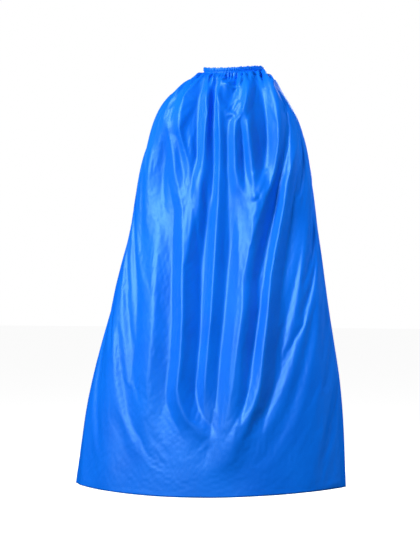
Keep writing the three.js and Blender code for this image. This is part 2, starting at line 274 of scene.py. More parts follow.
# ---- Folds ----------------------------------------------------------------------------------------
# A fold is (v, u, height, half width) along its line, in metres off the smooth cloth. A height below zero
# is a hollow.
FOLDS = {
    "left_outer": [(0.14, 0.5, 0, 0.02), (0.2, 0.52, 0.006, 0.022), (0.24, 0.56, 0.009, 0.024),
                   (0.29, 0.6, 0.009, 0.026), (0.36, 0.61, 0.005, 0.03), (0.42, 0.6, 0, 0.03)],
    "left_oval": [(0.165, 0.475, 0, 0.02), (0.2, 0.455, -0.011, 0.025), (0.24, 0.46, -0.016, 0.028),
                  (0.29, 0.445, -0.014, 0.028), (0.33, 0.42, -0.005, 0.026), (0.37, 0.4, 0, 0.026)],
    "left_long": [(0.14, 0.45, 0, 0.017), (0.195, 0.385, 0.011, 0.019), (0.24, 0.33, 0.012, 0.02),
                  (0.29, 0.28, 0.013, 0.02), (0.34, 0.235, 0.020, 0.02), (0.415, 0.22, 0.027, 0.023),
                  (0.51, 0.19, 0.028, 0.025), (0.6, 0.155, 0.028, 0.025), (0.69, 0.14, 0.028, 0.025),
                  (0.76, 0.15, 0.027, 0.025), (0.79, 0.13, 0.024, 0.026), (0.825, 0.07, 0.021, 0.028),
                  (0.85, 0.01, 0.014, 0.03), (0.89, -0.05, 0, 0.034)],
    "left_crease": [(0.12, 0.4, 0, 0.014), (0.17, 0.345, -0.006, 0.013), (0.21, 0.285, -0.008, 0.013),
                    (0.255, 0.24, -0.006, 0.013), (0.3, 0.21, 0, 0.014)],
    "left_sweep": [(0, 0.25, 0.003, 0.010), (0.03, 0.3, 0.012, 0.014), (0.08, 0.35, 0.017, 0.019),
                   (0.12, 0.34, 0.018, 0.02), (0.155, 0.32, 0.018, 0.019), (0.185, 0.28, 0.016, 0.018),
                   (0.22, 0.23, 0.014, 0.018), (0.25, 0.19, 0.014, 0.02), (0.283, 0.15, 0.014, 0.024),
                   (0.316, 0.12, 0.010, 0.028), (0.37, 0.1, 0, 0.032)],
    "left_valley": [(0.02, 0.22, 0, 0.012), (0.06, 0.24, -0.013, 0.02), (0.11, 0.22, -0.021, 0.025),
                    (0.16, 0.202, -0.022, 0.024), (0.205, 0.175, -0.016, 0.02), (0.235, 0.155, -0.005, 0.018),
                    (0.27, 0.15, 0, 0.018)],
    "left_inner": [(0, 0.17, 0.004, 0.008), (0.03, 0.16, 0.010, 0.011), (0.06, 0.13, 0.012, 0.012),
                   (0.11, 0.105, 0.013, 0.013), (0.18, 0.107, 0.012, 0.014), (0.225, 0.11, 0.010, 0.016),
                   (0.26, 0.115, 0.010, 0.02), (0.295, 0.12, 0.006, 0.024), (0.34, 0.13, 0, 0.028)],
    "left_stripe": [(0, 0.12, 0, 0.007), (0.03, 0.11, -0.010, 0.009), (0.056, 0.095, -0.014, 0.011),
                    (0.106, 0.055, -0.016, 0.012), (0.176, 0.04, -0.016, 0.013),
                    (0.245, 0.035, -0.013, 0.014), (0.315, 0.05, -0.013, 0.018), (0.386, 0.08, -0.019, 0.021),
                    (0.456, 0.09, -0.020, 0.023), (0.55, 0.07, -0.020, 0.023), (0.645, 0.06, -0.019, 0.023),
                    (0.74, 0.06, -0.015, 0.023), (0.805, 0, -0.009, 0.026), (0.86, -0.07, 0, 0.03)],
    "middle_thin": [(0, 0.07, 0.004, 0.006), (0.03, 0.04, 0.010, 0.008), (0.107, 0, 0.010, 0.009),
                    (0.155, -0.02, 0.010, 0.010), (0.31, -0.028, 0.011, 0.012), (0.4, -0.02, 0.014, 0.014),
                    (0.5, -0.03, 0.015, 0.015), (0.59, -0.04, 0.015, 0.016), (0.67, -0.025, 0.014, 0.017),
                    (0.755, -0.03, 0.012, 0.019), (0.835, -0.04, 0.005, 0.022), (0.88, -0.05, 0, 0.026)],
    "middle_hollow": [(0.1, -0.06, 0, 0.01), (0.13, -0.065, -0.006, 0.011), (0.18, -0.07, -0.008, 0.012),
                      (0.25, -0.07, -0.008, 0.013), (0.32, -0.08, -0.009, 0.015), (0.41, -0.1, -0.015, 0.019),
                      (0.5, -0.1, -0.016, 0.021), (0.6, -0.11, -0.016, 0.021), (0.69, -0.1, -0.014, 0.021),
                      (0.78, -0.11, -0.008, 0.023), (0.86, -0.14, 0, 0.026)],
    "centre_left": [(0, -0.27, 0.005, 0.008), (0.03, -0.25, 0.013, 0.011), (0.066, -0.235, 0.018, 0.013),
                    (0.1, -0.205, 0.018, 0.014), (0.135, -0.13, 0.017, 0.016), (0.173, -0.115, 0.015, 0.016),
                    (0.245, -0.115, 0.015, 0.016), (0.29, -0.15, 0.014, 0.019), (0.32, -0.19, 0.008, 0.023),
                    (0.36, -0.22, 0, 0.026)],
    "centre_slot": [(0.11, -0.17, 0, 0.008), (0.147, -0.165, -0.008, 0.010), (0.182, -0.165, -0.012, 0.011),
                    (0.23, -0.17, -0.012, 0.011), (0.276, -0.19, -0.004, 0.011), (0.3, -0.2, 0, 0.012)],
    "centre_right": [(0.08, -0.2, 0, 0.010), (0.105, -0.215, 0.005, 0.011), (0.135, -0.21, 0.010, 0.012),
                     (0.18, -0.22, 0.014, 0.014), (0.235, -0.235, 0.015, 0.015), (0.27, -0.245, 0.014, 0.017),
                     (0.304, -0.26, 0.008, 0.021), (0.34, -0.27, 0, 0.024)],
    "centre": [(0.26, -0.26, 0, 0.03), (0.315, -0.27, 0.018, 0.038), (0.355, -0.258, 0.030, 0.038),
               (0.39, -0.247, 0.038, 0.038), (0.47, -0.235, 0.043, 0.04), (0.57, -0.235, 0.043, 0.041),
               (0.675, -0.23, 0.043, 0.041), (0.76, -0.23, 0.041, 0.041), (0.845, -0.22, 0.031, 0.041),
               (0.9, -0.215, 0.018, 0.043), (0.97, -0.21, 0, 0.05)],
    "right_hammock": [(0.02, -0.36, 0, 0.014), (0.06, -0.35, -0.010, 0.019), (0.09, -0.34, -0.020, 0.023),
                      (0.13, -0.325, -0.026, 0.027), (0.17, -0.315, -0.028, 0.028),
                      (0.21, -0.31, -0.025, 0.025), (0.245, -0.305, -0.016, 0.020),
                      (0.267, -0.3, -0.008, 0.018), (0.295, -0.29, 0, 0.016)],
    "right_neck": [(0, -0.5, 0.004, 0.009), (0.03, -0.46, 0.013, 0.015), (0.06, -0.44, 0.016, 0.019),
                   (0.1, -0.43, 0.018, 0.022), (0.15, -0.435, 0.018, 0.022), (0.2, -0.425, 0.018, 0.02),
                   (0.255, -0.41, 0.016, 0.018), (0.305, -0.37, 0.013, 0.019), (0.33, -0.33, 0.009, 0.022),
                   (0.37, -0.295, 0, 0.026)],
    "right_stripe": [(0.11, -0.58, 0, 0.014), (0.16, -0.54, -0.004, 0.013), (0.195, -0.51, -0.009, 0.012),
                     (0.26, -0.455, -0.014, 0.012), (0.31, -0.42, -0.018, 0.013),
                     (0.36, -0.39, -0.026, 0.018), (0.435, -0.335, -0.032, 0.022),
                     (0.515, -0.305, -0.035, 0.023), (0.58, -0.315, -0.035, 0.022),
                     (0.68, -0.3, -0.034, 0.022), (0.8, -0.28, -0.022, 0.024), (0.855, -0.275, -0.010, 0.028),
                     (0.92, -0.26, 0, 0.034)],
    "right_sweep": [(0.13, -0.73, 0, 0.02), (0.18, -0.68, 0.007, 0.018), (0.24, -0.61, 0.012, 0.017),
                    (0.26, -0.56, 0.014, 0.017), (0.307, -0.5, 0.018, 0.016), (0.37, -0.475, 0.022, 0.016),
                    (0.445, -0.44, 0.026, 0.017), (0.52, -0.415, 0.027, 0.017), (0.6, -0.4, 0.025, 0.017),
                    (0.68, -0.385, 0.024, 0.018), (0.76, -0.375, 0.022, 0.019), (0.81, -0.345, 0.023, 0.021),
                    (0.858, -0.3, 0.016, 0.025), (0.9, -0.245, 0.007, 0.03), (0.94, -0.2, 0, 0.033)],
    "right_trough": [(0.35, -0.58, 0, 0.02), (0.39, -0.56, -0.006, 0.021), (0.45, -0.52, -0.009, 0.023),
                     (0.53, -0.49, -0.009, 0.024), (0.62, -0.485, -0.009, 0.024),
                     (0.69, -0.47, -0.009, 0.024), (0.75, -0.455, -0.008, 0.025),
                     (0.81, -0.42, -0.005, 0.027), (0.87, -0.38, 0, 0.03)],
    "right_outer": [(0.15, -0.71, 0, 0.016), (0.2, -0.76, 0.009, 0.019), (0.24, -0.785, 0.009, 0.021),
                    (0.285, -0.81, 0.008, 0.023), (0.33, -0.84, 0.007, 0.025), (0.38, -0.86, 0.006, 0.027),
                    (0.45, -0.88, 0.005, 0.03), (0.54, -0.88, 0, 0.035)],
    "right_oval": [(0.165, -0.71, 0, 0.018), (0.2, -0.7, -0.012, 0.023), (0.25, -0.67, -0.019, 0.027),
                   (0.285, -0.65, -0.019, 0.027), (0.32, -0.62, -0.010, 0.024), (0.36, -0.59, 0, 0.022)],
    "right_side": [(0.48, -0.75, 0, 0.022), (0.55, -0.74, 0.007, 0.022), (0.63, -0.73, 0.010, 0.024),
                   (0.715, -0.73, 0.010, 0.026), (0.8, -0.74, 0.009, 0.028), (0.9, -0.75, 0.006, 0.033),
                   (1, -0.76, 0.004, 0.044)],
    "left_soft": [(0.35, 0.47, 0, 0.033), (0.41, 0.45, 0.012, 0.038), (0.5, 0.43, 0.019, 0.041),
                  (0.57, 0.4, 0.022, 0.041), (0.66, 0.365, 0.022, 0.039), (0.74, 0.37, 0.017, 0.041),
                  (0.8, 0.37, 0.008, 0.046), (0.88, 0.39, 0, 0.057)],
    "left_soft_hollow": [(0.39, 0.34, 0, 0.022), (0.45, 0.32, -0.005, 0.025), (0.51, 0.29, -0.007, 0.026),
                         (0.6, 0.265, -0.009, 0.026), (0.7, 0.26, -0.009, 0.028), (0.79, 0.25, -0.006, 0.03),
                         (0.87, 0.24, 0, 0.035)],
    "left_edge": [(0.3, 0.78, 0, 0.04), (0.5, 0.74, 0.012, 0.04), (0.75, 0.7, 0.014, 0.045),
                  (0.93, 0.7, 0.006, 0.05), (1, 0.7, 0.004, 0.05)],
    "right_edge": [(0.3, -0.93, 0, 0.03), (0.5, -0.9, 0.010, 0.035), (0.75, -0.88, 0.012, 0.04),
                   (1, -0.88, 0.004, 0.05)],
    "left_neck_outer": [(0, 0.44, 0.004, 0.010), (0.03, 0.48, 0.010, 0.013), (0.08, 0.53, 0.012, 0.018),
                        (0.14, 0.56, 0.010, 0.022), (0.22, 0.58, 0, 0.03)],
    "left_front": [(0, 0.66, 0.004, 0.009), (0.04, 0.7, 0.012, 0.014), (0.12, 0.73, 0.014, 0.02),
                   (0.3, 0.76, 0.008, 0.028), (0.45, 0.78, 0, 0.04)],
    "right_front": [(0, -0.68, 0.004, 0.009), (0.04, -0.7, 0.012, 0.014), (0.12, -0.74, 0.014, 0.02),
                    (0.24, -0.8, 0.008, 0.028), (0.4, -0.84, 0, 0.04)],
    "left_throat": [(0, 0.85, 0.003, 0.008), (0.04, 0.86, 0.009, 0.012), (0.15, 0.88, 0.009, 0.018),
                    (0.35, 0.9, 0.008, 0.03), (0.7, 0.92, 0, 0.04)],
    "right_throat": [(0, -0.87, 0.003, 0.008), (0.04, -0.88, 0.009, 0.012), (0.15, -0.9, 0.009, 0.018),
                     (0.3, -0.92, 0, 0.03)],
}
# A swag is a fold that runs across the cloth: the (v, u) points of its line, its height and half width.
SWAGS = {
    "cowl_upper": ([(0, 0.1), (0.024, 0.03), (0.04, -0.04), (0.048, -0.11), (0.044, -0.17), (0.02, -0.23)],
                   0.006, 0.007),
    "cowl_lower": ([(0.02, 0.08), (0.06, 0.02), (0.095, -0.04), (0.113, -0.09), (0.114, -0.125),
                    (0.095, -0.165)], 0.006, 0.010),
    "hammock_left": ([(0.27, -0.27), (0.3, -0.275), (0.322, -0.287)], 0.003, 0.010),
    "hammock_right": ([(0.27, -0.35), (0.3, -0.325), (0.322, -0.295)], 0.003, 0.010),
    "right_pucker": ([(0.012, -0.64), (0.04, -0.585), (0.075, -0.57)], 0.007, 0.008),
}
# A dent is a hollow: (v, u) of its middle, half width and half length in metres, depth, and how much
# narrower it is at its foot than at its head.
DENTS = {
    "cowl_top": (0.015, -0.075, 0.032, 0.030, 0.008, 0.5),
    "cowl_middle": (0.07, -0.085, 0.030, 0.040, 0.008, 0.6),
    "right_pinch": (0.045, -0.53, 0.010, 0.040, 0.010, 0.6),
    "left_pinch": (0.06, 0.43, 0.014, 0.05, 0.008, 0.4),
}


def measured(grid):
    """How far each point lies along its row from the centre back, and along its column from the neck."""
    across = np.linalg.norm(np.diff(grid, axis=1), axis=-1)
    across = np.concatenate([np.zeros((len(grid), 1)), np.cumsum(across, 1)], 1)
    across -= across[:, grid.shape[1] // 2][:, None]
    down = np.linalg.norm(np.diff(grid, axis=0), axis=-1)
    down = np.concatenate([np.zeros((1, grid.shape[1])), np.cumsum(down, 0)])
    return across, down


def along_path(vs, path):
    """u, height and half width of a fold at each v, rounded off so that the crest bends softly."""
    v, u, height, width = np.array(path).T
    fine = np.linspace(-0.1, 1.1, 601)
    kernel = np.hanning(19) / np.hanning(19).sum()
    lines = [np.interp(fine, v, values) for values in (u, height, width)]
    lines[1][(fine < v[0] - 1e-9) | (fine > v[-1])] = 0
    rounded = [np.convolve(np.pad(line, 9, mode="edge"), kernel, mode="valid") for line in lines]
    return [np.interp(vs, fine, line) for line in rounded]


def distance_to(across, down, us, vs, path):
    """How far each point of the cloth is from a line across it."""
    nodes = []
    for v, u in path:
        i = np.abs(vs - v).argmin()
        nodes.append((np.interp(u, us, across[i]), np.interp(u, us, down[i])))
    nearest = np.full(across.shape, 1.0)
    for (x0, y0), (x1, y1) in zip(nodes, nodes[1:]):
        dx, dy = x1 - x0, y1 - y0
        t = np.clip(((across - x0) * dx + (down - y0) * dy) / (dx * dx + dy * dy), 0, 1)
        nearest = np.minimum(nearest, np.hypot(across - x0 - t * dx, down - y0 - t * dy))
    return nearest


def wavy(x, wavelength, seed, terms=7):
    """An uneven wave with about that wavelength, between about -1 and 1."""
    rng = np.random.default_rng(seed)
    lengths = wavelength * rng.uniform(0.72, 1.45, terms)
    phases = rng.uniform(0, 2 * math.pi, terms)
    total = sum(np.cos(2 * math.pi * x / w + p) for w, p in zip(lengths, phases))
    return total / math.sqrt(terms / 2) / 1.4


def gathers(across, down, u):
    """Fine pleats at the neckline, which run together further down."""
    at_neck = across[0] + 0 * across
    height = 0
    # depth, wavelength, seed, how far down they reach, and where they begin
    for depth, wavelength, seed, reach, first, last in (
        (0.0034, PLEAT_WAVELENGTH, PLEAT_SEED, 0.028, -0.006, 0.012),
        (0.0050, 0.021, 5, 0.065, 0, 0.022),
        (0.0040, 0.044, 8, 0.15, 0, 0.05),
    ):
        faded = np.exp(-((down / reach) ** 2)) * smooth(down, first, last)
        height = height + depth * wavy(at_neck, wavelength, seed) * faded
    return height


def ripples(across, down):
    """Slight unevenness of satin that hangs free, and waves along its hem."""
    length = down[-1]
    slow = 0.0020 * wavy(across + 0.08 * down, 0.16, 12) * smooth(down, 0.25, 0.6)
    hem = 0.0040 * wavy(across, 0.20, 21) * smooth(down, length - 0.28, length)
    return slow + hem


def section(x):
    """A fold's section at x half widths from its crest: even flanks, a rounded crest and soft feet."""
    from_crest = np.sqrt(x * x + CREST_ROUNDNESS**2) - CREST_ROUNDNESS
    return np.clip(1 - from_crest / FOLD_REACH, 0, 1) ** 1.25


def relief(grid, us, vs, pleats=True):
    """How far the folds stand off the smooth cloth."""
    across, down = measured(grid)
    height = np.zeros(across.shape)
    for path in FOLDS.values():
        u, h, w = along_path(vs, path)
        w = FOLD_WIDTH * w
        centre = np.array([np.interp(u[i], us, across[i]) for i in range(len(vs))]) - CREST_BESIDE * w
        height += FOLD_HEIGHT * h[:, None] * section((across - centre[:, None]) / w[:, None])
    for path, h, w in SWAGS.values():
        height += h * np.exp(-((distance_to(across, down, us, vs, path) / w) ** 2))
    for v, u, half_width, half_length, depth, taper in DENTS.values():
        i, j = np.abs(vs - v).argmin(), np.abs(us - u).argmin()
        y = (down - down[i, j]) / half_length
        centre = np.array([np.interp(u, us, row) for row in across])
        x = (across - centre[:, None]) / (half_width * (1 - taper * np.clip(y, -1, 1)))
        height -= depth * np.clip(1 - x * x - y * y, 0, 1) ** 1.5
    height *= smooth(down, -0.002, 0.016)
    if pleats:
        height += gathers(across, down, us[None])
    return height + ripples(across, down)


class Cloth:
    """The panel's final shape, which the hems and stitches lie on."""

    def __init__(self, us, vs, grid):
        self.us, self.vs, self.grid = us, vs, grid
        self.normals = normals_of(grid)

    def at(self, u, v, off=0):
        """Points at u and v, and off metres outside the panel."""
        u, v = np.broadcast_arrays(np.asarray(u, float), np.asarray(v, float))
        x = np.interp(u, self.us, np.arange(len(self.us)))
        y = np.interp(v, self.vs, np.arange(len(self.vs)))
        j = np.clip(x.astype(int), 0, len(self.us) - 2)
        i = np.clip(y.astype(int), 0, len(self.vs) - 2)
        a, b = (x - j)[..., None], (y - i)[..., None]

        def mix(g):
            above = g[i, j] * (1 - a) + g[i, j + 1] * a
            below = g[i + 1, j] * (1 - a) + g[i + 1, j + 1] * a
            return above * (1 - b) + below * b

        return mix(self.grid) + off * mix(self.normals)


def designed(us, vs, pleats=True):
    grid = smooth_cloth(us, vs)
    height = relief(grid, us, vs, pleats)
    height *= smooth(1 - np.abs(us), -0.02, 0.05)[None]
    return grid + normals_of(grid) * height[..., None]


def settled(us, vs):
    """How far gravity and the cloth's own tension move the designed shape, from a cloth simulation."""
    start = designed(us, vs, pleats=False)
    mesh = bpy.data.meshes.new("settling")
    faces = grid_faces(*start.shape[:2])
    mesh.from_pydata([tuple(p) for p in start.reshape(-1, 3)], [], [tuple(f) for f in faces])
    thing = bpy.data.objects.new("settling", mesh)
    bpy.context.scene.collection.objects.link(thing)
    thing.shape_key_add(name="Basis")
    cut = thing.shape_key_add(name="cut")
    cut.data.foreach_set("co", (start * (SLACK, SLACK, 1)).reshape(-1, 3).ravel())
    hold = thing.vertex_groups.new(name="hold")
    for j, u in enumerate(us):
        firm = HOLD + (EDGE_HOLD - HOLD) * float(smooth(abs(u), 0.9, 1))
        hold.add([i * len(us) + j for i, v in enumerate(vs) if v >= NECK_ROWS_END], firm, "REPLACE")
        hold.add([i * len(us) + j for i, v in enumerate(vs) if v < NECK_ROWS_END], 1, "REPLACE")
    modifier = thing.modifiers.new("cloth", "CLOTH")
    settings = modifier.settings
    settings.quality = 6
    settings.mass = 0.02
    settings.tension_stiffness = 20
    settings.compression_stiffness = 20
    settings.shear_stiffness = 6
    settings.bending_stiffness = 0.5
    settings.air_damping = 3
    settings.vertex_group_mass = "hold"
    settings.pin_stiffness = 0.6
    settings.rest_shape_key = cut
    modifier.collision_settings.use_collision = False
    modifier.point_cache.frame_end = SETTLE_FRAMES
    scene = bpy.context.scene
    for number in range(1, SETTLE_FRAMES + 1):
        scene.frame_set(number)
    result = thing.evaluated_get(bpy.context.evaluated_depsgraph_get())
    points = np.empty(len(mesh.vertices) * 3)
    result.data.vertices.foreach_get("co", points)
    bpy.data.objects.remove(thing)
    scene.frame_set(1)
    return points.reshape(start.shape) - start


def onto(us, vs, coarse_us, coarse_vs, coarse):
    """A coarse grid of vectors, read off smoothly at each point of a finer one."""
    rows = np.array([[np.interp(us, coarse_us, row[:, k]) for k in range(3)] for row in coarse])
    rows = rows.transpose(0, 2, 1)
    fine = np.empty((len(vs), len(us), 3))
    for j in range(len(us)):
        for k in range(3):
            fine[:, j, k] = np.interp(vs, coarse_vs, rows[:, j, k])
    return fine


def make_cloth():
    us = np.linspace(-1, 1, COLUMNS)
    vs = np.linspace(0, 1, ROWS) ** ROW_CROWDING
    grid = designed(us, vs)
    coarse_us = np.linspace(-1, 1, SETTLE_COLUMNS)
    coarse_vs = np.linspace(0, 1, SETTLE_ROWS)
    grid = grid + onto(us, vs, coarse_us, coarse_vs, settled(coarse_us, coarse_vs))
    return Cloth(us, vs, grid)


# ---- Meshes ---------------------------------------------------------------------------------------
def mesh_piece(name, points, faces, material, uvs=None):
    mesh = bpy.data.meshes.new(name)
    mesh.from_pydata([tuple(p) for p in points], [], [tuple(f) for f in faces])
    if uvs is not None:
        layer = mesh.uv_layers.new(name="cloth")
        index = np.empty(len(mesh.loops), dtype=np.int32)
        mesh.loops.foreach_get("vertex_index", index)
        layer.data.foreach_set("uv", np.asarray(uvs, dtype=np.float32)[index].ravel())
    mesh.update()
    piece = bpy.data.objects.new(name, mesh)
    bpy.context.scene.collection.objects.link(piece)
    piece.data.materials.append(material)
    for polygon in mesh.polygons:
        polygon.use_smooth = True
    return piece


def grid_faces(rows, columns):
    i, j = np.meshgrid(np.arange(rows - 1), np.arange(columns - 1), indexing="ij")
    a = (i * columns + j).ravel()
    return np.stack([a, a + columns, a + columns + 1, a + 1], -1)


def sheet_piece(name, grid, uvs, material, thickness):
    rows, columns = grid.shape[:2]
    piece = mesh_piece(name, grid.reshape(-1, 3), grid_faces(rows, columns), material, uvs.reshape(-1, 2))
    solid = piece.modifiers.new("cloth thickness", "SOLIDIFY")
    solid.thickness = thickness
    solid.offset = 0
    return piece


# ---- Materials ------------------------------------------------------------------------------------
def new_material(name):
    material = bpy.data.materials.new(name)
    material.use_nodes = True
    nodes = material.node_tree.nodes
    shader = nodes["Principled BSDF"]
    return material, nodes, material.node_tree.links, shader


def noise(nodes, links, vector, scale, detail):
    """The value of a noise whose scale differs along each direction."""
    mapping = nodes.new("ShaderNodeMapping")
    mapping.inputs["Scale"].default_value = scale
    texture = nodes.new("ShaderNodeTexNoise")
    texture.inputs["Scale"].default_value = 1
    texture.inputs["Detail"].default_value = detail
    links.new(vector, mapping.inputs["Vector"])
    links.new(mapping.outputs["Vector"], texture.inputs["Vector"])
    return texture.outputs["Fac"]


def satin_material():
    """Blue satin, with slight unevenness of dye and a fine uneven weft."""
    material, nodes, links, shader = new_material("blue satin")
    uv = nodes.new("ShaderNodeUVMap")
    uv.uv_map = "cloth"
    shade = noise(nodes, links, uv.outputs["UV"], (5, 5, 5), 3)
    grain = noise(nodes, links, uv.outputs["UV"], (160, 420, 1), 4)
    slub = noise(nodes, links, uv.outputs["UV"], (25, 900, 1), 4)
    mixed = nodes.new("ShaderNodeMath")
    mixed.operation = "MULTIPLY_ADD"
    mixed.inputs[1].default_value = GRAIN_SHARE
    links.new(grain, mixed.inputs[0])
    links.new(shade, mixed.inputs[2])
    ramp = nodes.new("ShaderNodeValToRGB")
    ramp.color_ramp.elements[0].position = 0.42
    ramp.color_ramp.elements[0].color = (*SATIN_DARK, 1)
    ramp.color_ramp.elements[1].position = 0.92
    ramp.color_ramp.elements[1].color = (*SATIN_LIGHT, 1)
    bump = nodes.new("ShaderNodeBump")
    bump.inputs["Strength"].default_value = 0.12
    bump.inputs["Distance"].default_value = 0.0004
    links.new(mixed.outputs["Value"], ramp.inputs["Fac"])
    links.new(ramp.outputs["Color"], shader.inputs["Base Color"])
    links.new(slub, bump.inputs["Height"])
    links.new(bump.outputs["Normal"], shader.inputs["Normal"])
    shader.inputs["Roughness"].default_value = 0.38
    shader.inputs["Specular IOR Level"].default_value = 0.5
    shader.inputs["Specular Tint"].default_value = (*SATIN_GLOSS, 1)
    return material


def plain_fabric(name, colour, roughness, scale):
    material, nodes, links, shader = new_material(name)
    texture = nodes.new("ShaderNodeTexNoise")
    texture.inputs["Scale"].default_value = scale
    ramp = nodes.new("ShaderNodeValToRGB")
    ramp.color_ramp.elements[0].color = (*(0.8 * c for c in colour), 1)
    ramp.color_ramp.elements[1].color = (*(min(1, 1.15 * c) for c in colour), 1)
    bump = nodes.new("ShaderNodeBump")
    bump.inputs["Strength"].default_value = 0.4
    bump.inputs["Distance"].default_value = 0.0003
    coordinates = nodes.new("ShaderNodeTexCoord")
    links.new(coordinates.outputs["Object"], texture.inputs["Vector"])
    links.new(texture.outputs["Fac"], ramp.inputs["Fac"])
    links.new(ramp.outputs["Color"], shader.inputs["Base Color"])
    links.new(texture.outputs["Fac"], bump.inputs["Height"])
    links.new(bump.outputs["Normal"], shader.inputs["Normal"])
    shader.inputs["Roughness"].default_value = roughness
    return material


SATIN = satin_material()
TAPE = plain_fabric("tape", (0.02, 0.09, 0.45), 0.9, 1500)
HOOK_LOOP = plain_fabric("hook and loop", (0.01, 0.06, 0.36), 1, 1200)
THREAD = plain_fabric("thread", (0.01, 0.13, 0.7), 0.6, 3000)
LABEL = plain_fabric("label", (0.86, 0.86, 0.83), 0.6, 1500)

# ---- The neckline as a band -----------------------------------------------------------------------
NECK_WRAP = math.radians(NECKLINE["wrap"])


def band(t, height, off=0):
    """Points by the neckline: t is the angle from the nape, height goes up the casing and off outwards."""
    t, height, off = np.broadcast_arrays(*(np.asarray(x, float) for x in (t, height, off)))
    level = on_station(NECKLINE, np.clip(t / NECK_WRAP, -1, 1))[..., 2]
    normal = np.stack([NECK_HALF_DEPTH * np.sin(t), NECK_HALF_WIDTH * np.cos(t)], -1)
    normal /= np.linalg.norm(normal, axis=-1, keepdims=True)
    x = NECK_HALF_WIDTH * np.sin(t) + off * normal[..., 0]
    y = NECK_HALF_DEPTH * np.cos(t) + off * normal[..., 1]
    return np.stack([x, y, level + height], -1)


def along_band(length):
    """The angle that a length takes up along the neckline, near the throat."""
    return length / NECK_HALF_WIDTH


def stitches(name, line, outward, stitch=SEAM_STITCH):
    """A row of separate stitches along a line of points: bowed threads that dip in at both ends."""
    length, gap, thick = stitch
    rings, sides = 5, 6
    steps = np.concatenate([[0], np.cumsum(np.linalg.norm(np.diff(line, axis=0), axis=1))])
    count = max(1, int(steps[-1] / (length + gap)))
    starts = (np.arange(count) + 0.5) * steps[-1] / count - length / 2
    q = np.linspace(0, 1, rings)
    at = starts[:, None] + q * length
    place = np.stack([np.interp(at, steps, line[:, k]) for k in range(3)], -1)
    up = np.stack([np.interp(at, steps, outward[:, k]) for k in range(3)], -1)
    along = np.gradient(place, axis=1)
    along /= np.linalg.norm(along, axis=-1, keepdims=True)
    side = np.cross(along, up)
    side /= np.linalg.norm(side, axis=-1, keepdims=True)
    place = place + up * ((np.sin(math.pi * q) - 0.35) * thick)[None, :, None]
    around = np.arange(sides) * 2 * math.pi / sides
    radius = thick / 2 * (0.6 + 0.4 * np.sin(math.pi * q))[None, :, None, None]
    ring = np.cos(around)[:, None] * side[:, :, None] + np.sin(around)[:, None] * up[:, :, None]
    points = (place[:, :, None] + radius * ring).reshape(-1, 3)
    faces = []
    for first in range(0, count * rings * sides, rings * sides):
        last = first + (rings - 1) * sides
        for a in range(first, last, sides):
            b = a + sides
            faces += [(a + m, a + (m + 1) % sides, b + (m + 1) % sides, b + m) for m in range(sides)]
        faces += [tuple(first + m for m in reversed(range(sides))), tuple(last + m for m in range(sides))]
    return mesh_piece(name, points, faces, THREAD)


def stitches_on(name, us, vs, off):
    """Stitches on the panel's outer face."""
    line = cloth.at(us, vs, off)
    return stitches(name, line, cloth.at(us, vs, off + OUT_STEP) - line)


def closed_shell(name, outer, inner, material):
    """A solid between two grids of points."""
    rows, columns = outer.shape[:2]
    faces = grid_faces(rows, columns)
    count = rows * columns
    border = list(range(columns)) + [i * columns + columns - 1 for i in range(1, rows)]
    border += [(rows - 1) * columns + j for j in reversed(range(columns - 1))]
    border += [i * columns for i in reversed(range(1, rows - 1))]
    sides = [(a, b, b + count, a + count) for a, b in zip(border, border[1:] + border[:1])]
    points = np.concatenate([outer.reshape(-1, 3), inner.reshape(-1, 3)])
    uv = np.stack(np.meshgrid(np.linspace(0, 0.04, columns), np.linspace(0, 0.02, rows)), -1).reshape(-1, 2)
    front = [tuple(f) for f in faces]
    back = [tuple(int(k) + count for k in reversed(f)) for f in faces]
    return mesh_piece(name, points, front + back + sides, material, np.concatenate([uv, uv]))


# ---- The panel, its hems and their stitches -------------------------------------------------------
UV_HALF_WIDTH = 0.6
HEM_UV_STEP = 0.01  # the hems' texture is beside the panel's, not on it
cloth = make_cloth()
flat_uv = np.stack(np.meshgrid(cloth.us * UV_HALF_WIDTH, cloth.vs * PANEL_LENGTH), -1)
panel = sheet_piece("cape_panel", cloth.grid, flat_uv, SATIN, CLOTH_THICKNESS)
hem_length = np.linalg.norm(np.diff(cloth.grid[-1], axis=0), axis=1).sum()
edge_share = 2 * EDGE_HEM_WIDTH / hem_length
hem_share = BOTTOM_HEM_WIDTH / PANEL_LENGTH


def turned_hem(name, us, vs):
    """The ply that is turned to the inside and sewn down: it leaves the panel's edge and lies flat on it."""
    u, v = np.meshgrid(us, vs)
    to_edge = np.minimum((1 - np.abs(u)) * hem_length / 2, (1 - v) * PANEL_LENGTH)
    off = -CLOTH_THICKNESS * (0.5 + 1.3 * smooth(to_edge, 0, 0.003))
    u = np.clip(u, -0.9995, 0.9995)
    grid = cloth.at(u, v, off[..., None])
    uv = np.stack([u * UV_HALF_WIDTH + HEM_UV_STEP, v * PANEL_LENGTH], -1)
    return sheet_piece(name, grid, uv, SATIN, CLOTH_THICKNESS)


near_edge = np.array([0, 0.15, 0.35, 0.6, 0.8, 0.93, 1])
down_edge = np.linspace(0, 1 - hem_share, 320)
whole = np.linspace(-1, 1, COLUMNS)
bottom_rows = 1 - hem_share * (1 - near_edge)
bottom_turn = turned_hem("bottom_hem_turn", whole, bottom_rows)
left_turn = turned_hem("left_hem_turn", 1 - edge_share * (1 - near_edge), down_edge)
right_turn = turned_hem("right_hem_turn", np.sort(-(1 - edge_share * (1 - near_edge))), down_edge)

